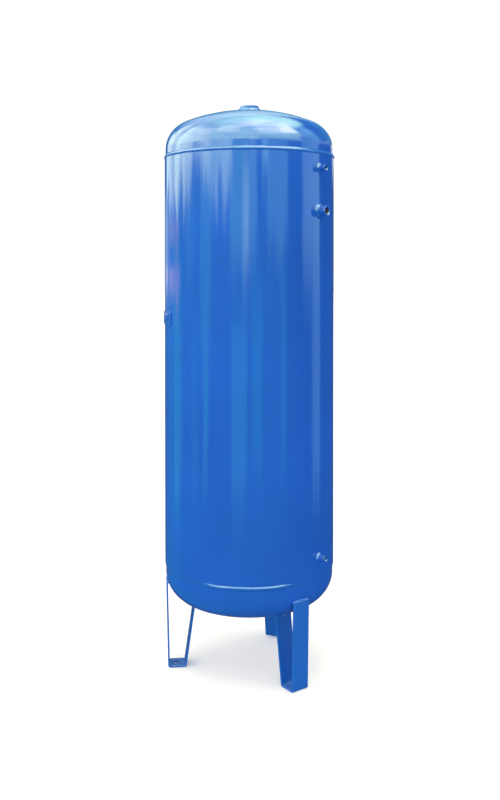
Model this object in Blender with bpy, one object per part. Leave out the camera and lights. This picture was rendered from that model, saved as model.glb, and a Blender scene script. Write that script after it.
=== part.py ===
"""Vertical air receiver tank of about 500 litres, standing on three bent-strap legs.

Metres, +Z up. The origin is on the tank's axis at floor level, and the +X axis points at the
column of threaded sockets. The shell is a rolled cylinder. Each dished head slides a little way
into it, and a girth weld fills the step. Neighbouring pieces keep a gap of GAP.
"""
import math

import bmesh
import bpy
from mathutils import Matrix, Vector

GAP = 0.0003
STEPS_ROUND = 64                  # facets round the tank's axis

# Shell
SHELL_RADIUS = 0.300
SHELL_WALL = 0.003
SHELL_BOTTOM = 0.366
SHELL_TOP = 1.796
SEAM_AZIMUTH = 60.0
SEAM_WIDTH = 0.010
SEAM_HEIGHT = 0.0018

# Dished heads: straight skirt, knuckle, crown
HEAD_WALL = 0.0035
HEAD_RADIUS = SHELL_RADIUS - SHELL_WALL - GAP
HEAD_LAP = 0.018                  # skirt inside the shell
HEAD_SKIRT = 0.029                # skirt in the open, up to the tangent line
HEAD_DEPTH = 0.138                # tangent line to apex
KNUCKLE_RADIUS = 0.100
CROWN_RADIUS = (((HEAD_RADIUS - KNUCKLE_RADIUS) ** 2 + HEAD_DEPTH ** 2 - KNUCKLE_RADIUS ** 2)
                / (2 * (HEAD_DEPTH - KNUCKLE_RADIUS)))
CROWN_ANGLE = math.asin((HEAD_RADIUS - KNUCKLE_RADIUS) / (CROWN_RADIUS - KNUCKLE_RADIUS))
TOP_TANGENT = SHELL_TOP + HEAD_SKIRT
BOTTOM_TANGENT = SHELL_BOTTOM - HEAD_SKIRT
TOP_APEX = TOP_TANGENT + HEAD_DEPTH
BOTTOM_APEX = BOTTOM_TANGENT - HEAD_DEPTH

# Girth welds, measured along the axis from the shell's edge
GIRTH_ON_SHELL = 0.004
GIRTH_ON_HEAD = 0.011
GIRTH_BULGE = 0.0045

# Threaded sockets: outside radius, bore radius, how far they stand out and in, weld leg
SOCKET_STEPS = 24
SOCKET_CHAMFER = 0.0012
SOCKET_SIZES = {
    "two_inch": dict(outer=0.03325, bore=0.02833, out=0.019, inward=0.010, weld=0.0125),
    "three_quarter": dict(outer=0.0180, bore=0.01206, out=0.032, inward=0.006, weld=0.0085),
    "half": dict(outer=0.0135, bore=0.00932, out=0.022, inward=0.006, weld=0.0060),
    "three_eighth": dict(outer=0.0113, bore=0.00748, out=0.027, inward=0.006, weld=0.0065),
}
WALL_SOCKETS = {                  # name: size, azimuth in degrees, height
    "upper_gauge_socket": ("three_eighth", 0.0, 1.745),
    "outlet_socket": ("three_quarter", 0.0, 1.600),
    "lower_gauge_socket": ("three_eighth", 0.0, 0.430),
    "inlet_socket": ("three_quarter", 180.0, 0.600),
}

# Legs: flat bar bent into a U, in each leg's own plane
LEG_AZIMUTHS = (-16.0, 104.0, -136.0)
STRAP_WIDTH = 0.065
STRAP_THICKNESS = 0.006
LEG_TOP = 0.300                   # top end of the outer arm
LEG_TOP_RADIUS = 0.2965           # outward face of the outer arm at its top
FOOT_OUTER = 0.290
FOOT_INNER = 0.226
INNER_ARM_RADIUS = 0.193          # axis face of the inner arm where it meets the dish
BEND_OUTSIDE = 0.008
BEND_INSIDE = BEND_OUTSIDE - STRAP_THICKNESS
STRAP_EDGE = 0.0007
ANCHOR_RADIUS = 0.009
ANCHOR_CENTRE = 0.262
OUTER_WELD_HEIGHT = 0.0075
INNER_WELD_LEG = 0.0045

# Data plate and its bracket, curved to the shell
PLATE_AZIMUTH = -127.5
PLATE_HEIGHT = 1.2335
BRACKET_SIZE = (0.136, 0.048, 0.0020)
PLATE_SIZE = (0.079, 0.036, 0.0008)
SCREW_SPREAD = (0.070, 0.027)
SCREW_HOLE = 0.0015
SCREW_SHANK = 0.0012
SCREW_HEAD = 0.0026
SCREW_HEAD_HEIGHT = 0.0013
BRACKET_INSIDE = SHELL_RADIUS + GAP
PLATE_INSIDE = BRACKET_INSIDE + BRACKET_SIZE[2] + GAP
PLATE_OUTSIDE = PLATE_INSIDE + PLATE_SIZE[2]

# Finishes: linear colour, roughness, metallic
BLUE_ENAMEL = ((0.017, 0.122, 0.515, 1.0), 0.16, 0.0)
WELD_ENAMEL = ((0.015, 0.108, 0.470, 1.0), 0.22, 0.0)
PLATE_METAL = ((0.017, 0.118, 0.500, 1.0), 0.20, 0.0)
SCREW_METAL = ((0.017, 0.115, 0.480, 1.0), 0.24, 0.0)


def clear_scene():
    for item in list(bpy.data.objects):
        bpy.data.objects.remove(item, do_unlink=True)


def make_material(name, finish):
    colour, roughness, metallic = finish
    material = bpy.data.materials.new(name)
    material.use_nodes = True
    shader = material.node_tree.nodes["Principled BSDF"]
    shader.inputs["Base Color"].default_value = colour
    shader.inputs["Roughness"].default_value = roughness
    shader.inputs["Metallic"].default_value = metallic
    return material


def make_object(name, work, finish, parent, smooth_angle=35.0):
    """Turn a bmesh into a named object with its own material."""
    bmesh.ops.recalc_face_normals(work, faces=work.faces)
    mesh = bpy.data.meshes.new(name)
    work.to_mesh(mesh)
    work.free()
    mesh.shade_smooth()
    mesh.set_sharp_from_angle(angle=math.radians(smooth_angle))
    item = bpy.data.objects.new(name, mesh)
    bpy.context.collection.objects.link(item)
    item.data.materials.append(make_material(name, finish))
    item.parent = parent
    return item


def make_cutter(name, work, parent):
    item = make_object(name, work, BLUE_ENAMEL, parent)
    item.hide_render = True
    item.display_type = "WIRE"
    return item


def cut(item, cutter):
    modifier = item.modifiers.new(cutter.name, "BOOLEAN")
    modifier.operation = "DIFFERENCE"
    modifier.solver = "EXACT"
    modifier.object = cutter


def lathe(profile, steps):
    """Turn a closed profile of (radius, height) points round the Z axis."""
    work = bmesh.new()
    rings = []
    for radius, height in profile:
        if radius < 1e-9:
            rings.append([work.verts.new((0.0, 0.0, height))])
            continue
        turns = (2 * math.pi * step / steps for step in range(steps))
        rings.append([work.verts.new((radius * math.cos(a), radius * math.sin(a), height))
                      for a in turns])
    for ring, following in zip(rings, rings[1:] + rings[:1]):
        if len(ring) == 1 and len(following) == 1:
            continue
        for step in range(steps):
            after = (step + 1) % steps
            corners = [ring[step % len(ring)], ring[after % len(ring)],
                       following[after % len(following)], following[step % len(following)]]
            work.faces.new(list(dict.fromkeys(corners)))
    return work


def skin_loops(loops, closed):
    """Join equal loops of points side by side; the first and last are capped unless closed."""
    work = bmesh.new()
    rows = [[work.verts.new(point) for point in loop] for loop in loops]
    count = len(rows[0])
    following = rows[1:] + rows[:1] if closed else rows[1:]
    for row, other in zip(rows, following):
        for index in range(count):
            after = (index + 1) % count
            work.faces.new((row[index], row[after], other[after], other[index]))
    if not closed:
        work.faces.new(rows[0])
        work.faces.new(rows[-1])
    return work


def arc(centre, radius, start, end, steps):
    """Points from angle start to angle end, both included."""
    for step in range(steps + 1):
        angle = start + (end - start) * step / steps
        yield (centre[0] + radius * math.cos(angle), centre[1] + radius * math.sin(angle))


def dish_points(inset, hole_radius, knuckle_steps=6, crown_steps=3):
    """Knuckle and crown, as (radius, height over the tangent line), inset from the outside."""
    knuckle_centre = (HEAD_RADIUS - KNUCKLE_RADIUS, 0.0)
    crown_centre = (0.0, HEAD_DEPTH - CROWN_RADIUS)
    turn = math.pi / 2 - CROWN_ANGLE
    points = list(arc(knuckle_centre, KNUCKLE_RADIUS - inset, 0.0, turn, knuckle_steps))
    crown = CROWN_RADIUS - inset
    last = math.acos(hole_radius / crown)
    points += list(arc(crown_centre, crown, turn, last, crown_steps))[1:]
    return points


def dish_drop(radius):
    """How far the dish's outside has fallen from its apex at a radius."""
    knuckle_starts = CROWN_RADIUS * math.sin(CROWN_ANGLE)
    if radius <= knuckle_starts:
        return CROWN_RADIUS - math.sqrt(CROWN_RADIUS ** 2 - radius ** 2)
    reach = radius - (HEAD_RADIUS - KNUCKLE_RADIUS)
    return HEAD_DEPTH - math.sqrt(KNUCKLE_RADIUS ** 2 - reach ** 2)


def dish_radius(height):
    """Radius of the knuckle's outside at a height over the tangent line."""
    return HEAD_RADIUS - KNUCKLE_RADIUS + math.sqrt(KNUCKLE_RADIUS ** 2 - height ** 2)


def build_shell(parent):
    inside = SHELL_RADIUS - SHELL_WALL
    profile = [(SHELL_RADIUS, SHELL_BOTTOM), (SHELL_RADIUS, SHELL_TOP),
               (inside, SHELL_TOP), (inside, SHELL_BOTTOM)]
    return make_object("shell", lathe(profile, STEPS_ROUND), BLUE_ENAMEL, parent)


def build_shell_seam(parent):
    """The straight weld that closes the rolled shell, a low crowned bead."""
    half = SEAM_WIDTH / 2
    base = SHELL_RADIUS + GAP
    section = [(base, -half), (base, half)]
    section += [(base + SEAM_HEIGHT * math.sin(a), half * math.cos(a))
                for a in (math.pi * step / 6 for step in range(1, 6))]
    clear = GIRTH_ON_SHELL + GAP
    loops = [[(x, y, z) for x, y in section] for z in (SHELL_BOTTOM + clear, SHELL_TOP - clear)]
    seam = make_object("shell_seam_weld", skin_loops(loops, False), WELD_ENAMEL, parent)
    seam.rotation_euler.z = math.radians(SEAM_AZIMUTH)


def build_head(name, tangent, direction, hole_radius, parent):
    """A dished head; direction is +1 for a head that opens downwards."""
    outside = [(HEAD_RADIUS, -HEAD_SKIRT - HEAD_LAP)] + dish_points(0.0, hole_radius)
    inside = [(HEAD_RADIUS - HEAD_WALL, -HEAD_SKIRT - HEAD_LAP)]
    inside += dish_points(HEAD_WALL, hole_radius)
    profile = [(r, direction * h) for r, h in outside + inside[::-1]]
    head = make_object(name, lathe(profile, STEPS_ROUND), BLUE_ENAMEL, parent)
    head.location.z = tangent
    return head


def build_girth_weld(name, edge, direction, parent):
    """The bead in the step between shell and head; direction points from shell to head."""
    on_shell = SHELL_RADIUS + GAP
    on_head = HEAD_RADIUS + GAP
    profile = [(on_head, GAP), (on_shell, GAP), (on_shell, -GIRTH_ON_SHELL)]
    bulge_steps = 5
    for step in range(1, bulge_steps + 1):
        share = step / bulge_steps
        radius = on_shell + (on_head - on_shell) * share + GIRTH_BULGE * math.sin(math.pi * share)
        profile.append((radius, -GIRTH_ON_SHELL + (GIRTH_ON_SHELL + GIRTH_ON_HEAD) * share))
    profile = [(r, direction * h) for r, h in profile]
    weld = make_object(name, lathe(profile, STEPS_ROUND), WELD_ENAMEL, parent)
    weld.location.z = edge


def fillet_section(leg, steps=4):
    """A slightly crowned weld fillet as (away from the corner, up the part) points."""
    points = [(0.0, 0.0)]
    for step in range(steps + 1):
        angle = math.pi / 2 * step / steps
        points.append((leg * math.cos(angle) ** 1.6, leg * math.sin(angle) ** 1.6))
    return points


def shell_surface(along, across):
    """Height of the shell's wall over the tangent plane at a socket's centre."""
    return math.sqrt(SHELL_RADIUS ** 2 - across ** 2) - SHELL_RADIUS


def dish_surface(along, across):
    return -dish_drop(math.hypot(along, across))


def socket_weld(size, surface):
    """A ring of fillet that follows the wall's curve round a socket."""
    loops = []
    for step in range(SOCKET_STEPS):
        angle = 2 * math.pi * step / SOCKET_STEPS
        loop = []
        for away, rise in fillet_section(size["weld"]):
            radius = size["outer"] + GAP + away
            x, y = radius * math.cos(angle), radius * math.sin(angle)
            loop.append((x, y, surface(x, y) + GAP + rise))
        loops.append(loop)
    return skin_loops(loops, True)


def build_socket(name, size, surface, location, rotation, parent):
    """A threaded socket let into the wall, its axis on local Z, and the weld round it."""
    outer, bore, out = size["outer"], size["bore"], size["out"]
    profile = [(bore, -size["inward"]), (outer, -size["inward"]),
               (outer, out - SOCKET_CHAMFER), (outer - SOCKET_CHAMFER, out),
               (bore + SOCKET_CHAMFER, out), (bore, out - SOCKET_CHAMFER)]
    socket = make_object(name, lathe(profile, SOCKET_STEPS), BLUE_ENAMEL, parent)
    weld = make_object(name + "_weld", socket_weld(size, surface), WELD_ENAMEL, parent)
    for item in (socket, weld):
        item.location = location
        item.rotation_euler = rotation
    return socket


def build_wall_sockets(shell, parent):
    for name, (size_name, azimuth, height) in WALL_SOCKETS.items():
        size = SOCKET_SIZES[size_name]
        turn = math.radians(azimuth)
        location = (SHELL_RADIUS * math.cos(turn), SHELL_RADIUS * math.sin(turn), height)
        rotation = (0.0, math.pi / 2, turn)
        build_socket(name, size, shell_surface, location, rotation, parent)
        reach = 0.02
        hole = size["outer"] + GAP
        profile = [(0.0, -reach), (hole, -reach), (hole, reach), (0.0, reach)]
        cutter = make_cutter(name + "_hole", lathe(profile, SOCKET_STEPS), parent)
        cutter.location = location
        cutter.rotation_euler = rotation
        cut(shell, cutter)


def build_heads(parent):
    top, drain = SOCKET_SIZES["two_inch"], SOCKET_SIZES["half"]
    build_head("top_head", TOP_TANGENT, 1, top["outer"] + GAP, parent)
    build_head("bottom_head", BOTTOM_TANGENT, -1, drain["outer"] + GAP, parent)
    build_socket("top_socket", top, dish_surface, (0, 0, TOP_APEX), (0, 0, 0), parent)
    build_socket("drain_socket", drain, dish_surface, (0, 0, BOTTOM_APEX), (math.pi, 0, 0), parent)


def rounded_corner(before, corner, after, radius, steps=4):
    """An arc of a given radius in place of a polyline's corner."""
    corner = Vector(corner)
    to_before = (Vector(before) - corner).normalized()
    to_after = (Vector(after) - corner).normalized()
    half = to_before.angle(to_after) / 2
    centre = corner + (to_before + to_after).normalized() * (radius / math.sin(half))
    start = corner + to_before * (radius / math.tan(half)) - centre
    turn = (math.pi - 2 * half) * (1 if to_before.cross(to_after) < 0 else -1)
    return [tuple(centre + Matrix.Rotation(turn * step / steps, 2) @ start)
            for step in range(steps + 1)]


def arm_end(foot, lean):
    """Where a line up from the foot, leaning by x per z, stops just under the dish."""
    x, z = foot
    for _ in range(12):
        z = BOTTOM_APEX + dish_drop(x) - GAP
        x = foot[0] + lean * (z - foot[1])
    return (x, z)


def strap_outline():
    """The bent bar's outline in its own plane, as (radius, height) points."""
    outer_lean = (LEG_TOP_RADIUS - FOOT_OUTER) / LEG_TOP
    inner_rise = BOTTOM_APEX + dish_drop(INNER_ARM_RADIUS)
    inner_lean = (INNER_ARM_RADIUS - FOOT_INNER) / inner_rise
    thick_outer = STRAP_THICKNESS * math.hypot(1, outer_lean)
    thick_inner = STRAP_THICKNESS * math.hypot(1, inner_lean)
    foot_top = STRAP_THICKNESS

    outside = [(LEG_TOP_RADIUS, LEG_TOP), (FOOT_OUTER, 0.0), (FOOT_INNER, 0.0)]
    outside.append(arm_end(outside[-1], inner_lean))
    inside = [(LEG_TOP_RADIUS - thick_outer, LEG_TOP),
              (FOOT_OUTER - thick_outer + outer_lean * foot_top, foot_top),
              (FOOT_INNER + thick_inner + inner_lean * foot_top, foot_top)]
    inside.append(arm_end(inside[-1], inner_lean))

    outline = []
    for path, radius in ((outside, BEND_OUTSIDE), (inside, BEND_INSIDE)):
        bent = [path[0]]
        bent += rounded_corner(path[0], path[1], path[2], radius)
        bent += rounded_corner(path[1], path[2], path[3], radius)
        bent.append(path[3])
        outline.append(bent)
    return outline[0], outline[1]


def build_strap(number, azimuth, parent):
    outside, inside = strap_outline()
    half = STRAP_WIDTH / 2
    loops = []
    for outer, inner in zip(outside, inside):
        loops.append([(outer[0], -half, outer[1]), (outer[0], half, outer[1]),
                      (inner[0], half, inner[1]), (inner[0], -half, inner[1])])
    strap = make_object("leg_%d" % number, skin_loops(loops, False), BLUE_ENAMEL, parent)
    strap.rotation_euler.z = math.radians(azimuth)

    deep = 0.02
    profile = [(0.0, -deep), (ANCHOR_RADIUS, -deep), (ANCHOR_RADIUS, deep), (0.0, deep)]
    cutter = make_cutter("leg_%d_anchor_hole" % number, lathe(profile, 24), strap)
    cutter.location.x = ANCHOR_CENTRE
    cut(strap, cutter)
    edge = strap.modifiers.new("rolled_edges", "BEVEL")
    edge.width = STRAP_EDGE
    edge.segments = 1
    edge.limit_method = "ANGLE"
    edge.angle_limit = math.radians(50)
    return strap


def outer_leg_weld():
    """A fillet on the outer arm's top end, against the knuckle."""
    steps = 12
    low = LEG_TOP + GAP
    edge = LEG_TOP_RADIUS - 0.0004
    loops = []
    for step in range(steps + 1):
        share = 2 * step / steps - 1
        y = share * (STRAP_WIDTH / 2 - 0.001)
        swell = 1 - 0.45 * abs(share) ** 6
        high = low + OUTER_WELD_HEIGHT * swell
        wall_low = math.sqrt(dish_radius(BOTTOM_TANGENT - low) ** 2 - y * y) + GAP
        wall_high = math.sqrt(dish_radius(BOTTOM_TANGENT - high) ** 2 - y * y) + GAP
        middle = ((edge + wall_high) / 2 + 0.001 * swell, (low + high) / 2 + 0.001 * swell)
        loops.append([(wall_low, y, low), (edge, y, low), (middle[0], y, middle[1]),
                      (wall_high, y, high)])
    return skin_loops(loops, False)


def rounded_rectangle(half_x, half_y, radius, side_steps, corner_steps=3):
    """Outline points with their outward normals, anticlockwise from the +X side."""
    points = []
    for turn in range(4):
        swap = turn % 2 == 1
        reach, side = (half_y, half_x) if swap else (half_x, half_y)
        straight = side - radius
        angle = turn * math.pi / 2
        steps = 1 if swap else side_steps
        for step in range(steps):
            along = -straight + 2 * straight * step / steps
            normal = (math.cos(angle), math.sin(angle))
            points.append((reach * normal[0] - along * normal[1],
                           reach * normal[1] + along * normal[0]) + normal)
        for step in range(corner_steps):
            bend = angle + math.pi / 2 * step / corner_steps
            normal = (math.cos(bend), math.sin(bend))
            base = (reach - radius, straight)
            centre = (base[0] * math.cos(angle) - base[1] * math.sin(angle),
                      base[0] * math.sin(angle) + base[1] * math.cos(angle))
            points.append((centre[0] + radius * normal[0], centre[1] + radius * normal[1]) + normal)
    return points


def inner_leg_weld():
    """A fillet all round the inner arm's top end, against the underside of the dish."""
    outside, inside = strap_outline()
    top, below = Vector(outside[-1]), Vector(outside[-2])
    lean = (top.x - below.x) / (top.y - below.y)
    half_x = (inside[-1][0] - lean * (inside[-1][1] - top.y) - top.x) / 2
    centre = top.x + half_x
    loops = []
    for x, y, normal_x, normal_y in rounded_rectangle(half_x, STRAP_WIDTH / 2, 0.0004, 8):
        loop = []
        for away, drop in fillet_section(INNER_WELD_LEG):
            out = GAP + away
            px, py = centre + x + normal_x * out, y + normal_y * out
            z = top.y
            for _ in range(6):
                shifted = px + lean * (z - top.y)
                z = BOTTOM_APEX + dish_drop(math.hypot(shifted, py)) - GAP - drop
            loop.append((shifted, py, z))
        loops.append(loop)
    return skin_loops(loops, True)


def build_legs(parent):
    for number, azimuth in enumerate(LEG_AZIMUTHS, start=1):
        build_strap(number, azimuth, parent)
        for place, weld in (("outer", outer_leg_weld()), ("inner", inner_leg_weld())):
            bead = make_object("leg_%d_%s_weld" % (number, place), weld, WELD_ENAMEL, parent)
            bead.rotation_euler.z = math.radians(azimuth)


def curved_sheet(size, inside, corner, steps=14):
    """A sheet with rounded corners, rolled to the shell's curve and centred on local +X."""
    width, height, thickness = size
    loops = []
    for step in range(steps + 1):
        share = math.sin(math.pi / 2 * (2 * step / steps - 1))
        along = share * width / 2
        into_corner = max(0.0, abs(along) - (width / 2 - corner))
        half = height / 2 - corner + math.sqrt(max(0.0, corner ** 2 - into_corner ** 2))
        angle = along / (inside + thickness)
        near = (inside * math.cos(angle), inside * math.sin(angle))
        far = tuple(value * (1 + thickness / inside) for value in near)
        loops.append([near + (-half,), far + (-half,), far + (half,), near + (half,)])
    return skin_loops(loops, False)


def screw_places():
    """Azimuth and height of each drive screw, measured from the plate's centre."""
    for side in (-1, 1):
        for level in (-1, 1):
            yield side * SCREW_SPREAD[0] / 2 / PLATE_OUTSIDE, level * SCREW_SPREAD[1] / 2


def build_screw(number, turn, rise, parent):
    """A round-headed drive screw, its axis on local Z and its seat on the plate."""
    shank_end = BRACKET_INSIDE + GAP - PLATE_OUTSIDE
    profile = [(0.0, shank_end), (SCREW_SHANK, shank_end), (SCREW_SHANK, GAP), (SCREW_HEAD, GAP)]
    dome_steps = 4
    for step in range(1, dome_steps + 1):
        angle = math.pi / 2 * step / dome_steps
        profile.append((SCREW_HEAD * math.cos(angle), GAP + SCREW_HEAD_HEIGHT * math.sin(angle)))
    profile[-1] = (0.0, GAP + SCREW_HEAD_HEIGHT)
    screw = make_object("data_plate_screw_%d" % number, lathe(profile, 16), SCREW_METAL, parent)
    azimuth = math.radians(PLATE_AZIMUTH) + turn
    screw.location = (PLATE_OUTSIDE * math.cos(azimuth), PLATE_OUTSIDE * math.sin(azimuth),
                      PLATE_HEIGHT + rise)
    screw.rotation_euler = (0.0, math.pi / 2, azimuth)
    return screw


def build_data_plate(parent):
    bracket_mesh = curved_sheet(BRACKET_SIZE, BRACKET_INSIDE, 0.006)
    plate_mesh = curved_sheet(PLATE_SIZE, PLATE_INSIDE, 0.003)
    bracket = make_object("data_plate_bracket", bracket_mesh, BLUE_ENAMEL, parent)
    plate = make_object("data_plate", plate_mesh, PLATE_METAL, parent)
    for sheet in (bracket, plate):
        sheet.location.z = PLATE_HEIGHT
        sheet.rotation_euler.z = math.radians(PLATE_AZIMUTH)
    for number, (turn, rise) in enumerate(screw_places(), start=1):
        screw = build_screw(number, turn, rise, parent)
        reach = 0.006
        profile = [(0.0, -reach), (SCREW_HOLE, -reach), (SCREW_HOLE, reach), (0.0, reach)]
        cutter = make_cutter("screw_hole_%d" % number, lathe(profile, 16), parent)
        cutter.location = screw.location
        cutter.rotation_euler = screw.rotation_euler
        cut(bracket, cutter)
        cut(plate, cutter)


def build():
    clear_scene()
    root = bpy.data.objects.new("air_receiver", None)
    bpy.context.collection.objects.link(root)
    shell = build_shell(root)
    build_shell_seam(root)
    build_heads(root)
    build_girth_weld("top_girth_weld", SHELL_TOP, 1, root)
    build_girth_weld("bottom_girth_weld", SHELL_BOTTOM, -1, root)
    build_wall_sockets(shell, root)
    build_legs(root)
    build_data_plate(root)


build()
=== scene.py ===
"""Looks of a vertical air receiver tank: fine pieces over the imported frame, in a plain studio."""
import math

import bmesh
import bpy
import numpy as np
from mathutils import Matrix, Vector


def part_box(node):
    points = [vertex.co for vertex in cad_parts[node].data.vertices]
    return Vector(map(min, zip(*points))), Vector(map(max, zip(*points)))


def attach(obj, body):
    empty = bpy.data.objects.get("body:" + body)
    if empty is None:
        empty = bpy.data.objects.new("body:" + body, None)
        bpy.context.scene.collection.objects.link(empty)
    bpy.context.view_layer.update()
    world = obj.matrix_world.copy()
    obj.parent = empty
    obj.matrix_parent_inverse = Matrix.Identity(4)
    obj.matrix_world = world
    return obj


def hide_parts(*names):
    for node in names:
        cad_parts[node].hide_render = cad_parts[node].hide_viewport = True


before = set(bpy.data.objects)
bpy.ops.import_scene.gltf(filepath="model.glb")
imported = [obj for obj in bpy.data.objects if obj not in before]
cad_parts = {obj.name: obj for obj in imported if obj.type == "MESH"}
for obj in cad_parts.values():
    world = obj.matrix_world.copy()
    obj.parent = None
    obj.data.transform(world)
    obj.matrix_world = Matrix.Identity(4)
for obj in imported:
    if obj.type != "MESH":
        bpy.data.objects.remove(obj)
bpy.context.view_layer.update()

GAP = 0.0003
ROUND = 288                       # facets round the tank's axis
TURN = 2 * math.pi
CUTTER_REACH = 0.02
CUTTER_STEPS = 96
SHARP = 35.0                      # edges over this angle, in degrees, stay sharp
BEAD_SHARP = 80.0                 # the same on a weld bead
TURNED_SHARP = 50.0               # the same on a socket or a screw

# Shell and heads, as in the CAD model
SHELL_RADIUS = 0.300
SHELL_WALL = 0.003
SHELL_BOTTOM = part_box("shell")[0][2]
SHELL_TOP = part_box("shell")[1][2]
SEAM_AZIMUTH = math.radians(60.0)
SEAM_WIDTH = 0.010
SEAM_HEIGHT = 0.0018
HEAD_WALL = 0.0035
HEAD_RADIUS = SHELL_RADIUS - SHELL_WALL - GAP
HEAD_LAP = 0.018
HEAD_SKIRT = 0.029
HEAD_DEPTH = 0.138
KNUCKLE_RADIUS = 0.100
CROWN_RADIUS = (((HEAD_RADIUS - KNUCKLE_RADIUS) ** 2 + HEAD_DEPTH ** 2 - KNUCKLE_RADIUS ** 2)
                / (2 * (HEAD_DEPTH - KNUCKLE_RADIUS)))
CROWN_ANGLE = math.asin((HEAD_RADIUS - KNUCKLE_RADIUS) / (CROWN_RADIUS - KNUCKLE_RADIUS))
TOP_TANGENT = SHELL_TOP + HEAD_SKIRT
BOTTOM_TANGENT = SHELL_BOTTOM - HEAD_SKIRT
TOP_APEX = TOP_TANGENT + HEAD_DEPTH
BOTTOM_APEX = BOTTOM_TANGENT - HEAD_DEPTH
ROLLING_FLATS = 0.00016           # unevenness of the plates
PRESSED_WAVES = 0.00030
FINE_WAVES = 0.00005
SHRINKAGE = 0.0003                # beside a girth weld, and how far from it
SHRUNK_REACH = 0.022

# Welds
GIRTH_ON_SHELL = 0.004
GIRTH_ON_HEAD = 0.011
GIRTH_BULGE = 0.0045
GIRTH_PITCH = 0.0048              # one ripple of the machine-laid bead
GIRTH_RIPPLE = 0.00032
GIRTH_SINK = 0.0006               # how far the bead's edges run into the plates
GIRTH_PROUD = math.radians(-52.0)  # middle of the stretch where a girth bead stands fullest
GIRTH_PROUD_HALF = 0.36           # half of that stretch, and the stretch over which it flattens
GIRTH_FADE = 0.25
TOP_FLUSH = 0.15                  # how much flatter it lies elsewhere, as a share of its bulge
BOTTOM_FLUSH = 0.96
BOTTOM_STOP = 0.0034              # lump where the bottom bead stopped: height and half length
STOP_REACH = 0.0035
HAND_PITCH = 0.0042               # one ripple of a bead laid by hand
SINK = 0.0006                     # how far the hidden back of a weld lies inside its plate

# Sockets: outside radius, bore radius, reach out and in, weld leg, thread pitch, and how far
# the paint runs into the thread
SOCKET_SIZES = {
    "two_inch": dict(outer=0.03325, bore=0.02833, out=0.019, inward=0.010, weld=0.0125,
                     pitch=0.002309, painted=0.004),
    "three_quarter": dict(outer=0.0180, bore=0.01206, out=0.032, inward=0.006, weld=0.0085,
                          pitch=0.001814, painted=0.0036),
    "half": dict(outer=0.0135, bore=0.00932, out=0.022, inward=0.006, weld=0.0060,
                 pitch=0.001814, painted=0.004),
    "three_eighth": dict(outer=0.0113, bore=0.00748, out=0.027, inward=0.006, weld=0.0065,
                         pitch=0.001337, painted=0.008),
}
WALL_SOCKETS = {                  # name: size, azimuth in degrees, height
    "upper_gauge_socket": ("three_eighth", 0.0, 1.745),
    "outlet_socket": ("three_quarter", 0.0, 1.600),
    "lower_gauge_socket": ("three_eighth", 0.0, 0.430),
    "inlet_socket": ("three_quarter", 180.0, 0.600),
}
SOCKET_STEPS = 128
SOCKET_ROUNDING = 0.0011
THREAD_DEPTH = 0.64               # in pitches
MOUTH_CHAMFER = 0.0016            # countersink beyond the thread's root
LEAD_IN = 0.9                     # slope of the countersink and of the thread's run-out
RUN_LENGTH = 0.0207               # one run of a socket's weld
STOP_HEIGHT = 0.045               # of the lumps where runs stopped, in weld legs
FILLET_POWER = 1.6                # 2 is a flat mitre, 1 a quarter round

# Legs
LEG_AZIMUTHS = (-16.0, 104.0, -136.0)
STRAP_WIDTH = 0.065
STRAP_THICKNESS = 0.006
STRAP_EDGE = 0.0011
LEG_TOP = 0.300
LEG_TOP_RADIUS = 0.2965
FOOT_OUTER = 0.290
FOOT_INNER = 0.226
INNER_ARM_RADIUS = 0.193
BEND_OUTSIDE = 0.008
BEND_INSIDE = BEND_OUTSIDE - STRAP_THICKNESS
ANCHOR_RADIUS = 0.009
ANCHOR_CENTRE = 0.262
OUTER_WELD_HEIGHT = 0.0075
INNER_WELD_LEG = 0.0045

# Data plate on its bracket: sizes are width, height and thickness
PLATE_AZIMUTH = math.radians(-127.5)
PLATE_HEIGHT = 1.2335
BRACKET_SIZE = (0.136, 0.048, 0.0020)
PLATE_SIZE = (0.079, 0.036, 0.0008)
SCREW_SPREAD = (0.070, 0.027)
SCREW_HEAD = 0.0026
SCREW_HEAD_HEIGHT = 0.0013
BRACKET_INSIDE = SHELL_RADIUS + GAP
PLATE_INSIDE = BRACKET_INSIDE + BRACKET_SIZE[2] + GAP
PLATE_OUTSIDE = PLATE_INSIDE + PLATE_SIZE[2]
PLATE_BOW = 0.0007
BRACKET_CORNER, BRACKET_EDGE = 0.006, 0.0006
PLATE_CORNER, PLATE_EDGE = 0.003, 0.0002
SCREW_SHANK = 0.002
SCREW_RIM = 0.0002

# Camera: metres and radians, its lens and sensor in millimetres
VIEW_AZIMUTH = math.radians(38.0)
CAMERA_DISTANCE = 3.2515
CAMERA_HEIGHT = 1.4288
CAMERA_ASIDE = 0.0026
CAMERA_PITCH = 0.0147
CAMERA_LENS = 41.02
CAMERA_SHIFT = -0.1557
SENSOR_WIDTH = 36.0


# ---------------------------------------------------------------- meshes

def wobble(seed, amplitude, angle, height, turns, waves):
    """Smooth unevenness over a turned surface: a few seeded sine waves that close round it."""
    chance = np.random.RandomState(seed)
    total = 0.0
    for _ in range(7):
        around = chance.randint(1, turns + 1)
        along = chance.uniform(-waves, waves)
        total = total + np.sin(around * angle + along * height + chance.uniform(0, TURN))
    return amplitude * total / 7 ** 0.5


def turned(profile, steps, shape=None):
    """A grid of points from a (radius, height) profile turned round the Z axis."""
    angle = np.linspace(0, TURN, steps, endpoint=False)[:, None]
    radius, height = (np.tile(column, (steps, 1)) for column in np.array(profile, float).T)
    if shape:
        radius, height = shape(angle, radius, height)
    return np.stack([radius * np.cos(angle), radius * np.sin(angle), height], axis=-1)


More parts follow.
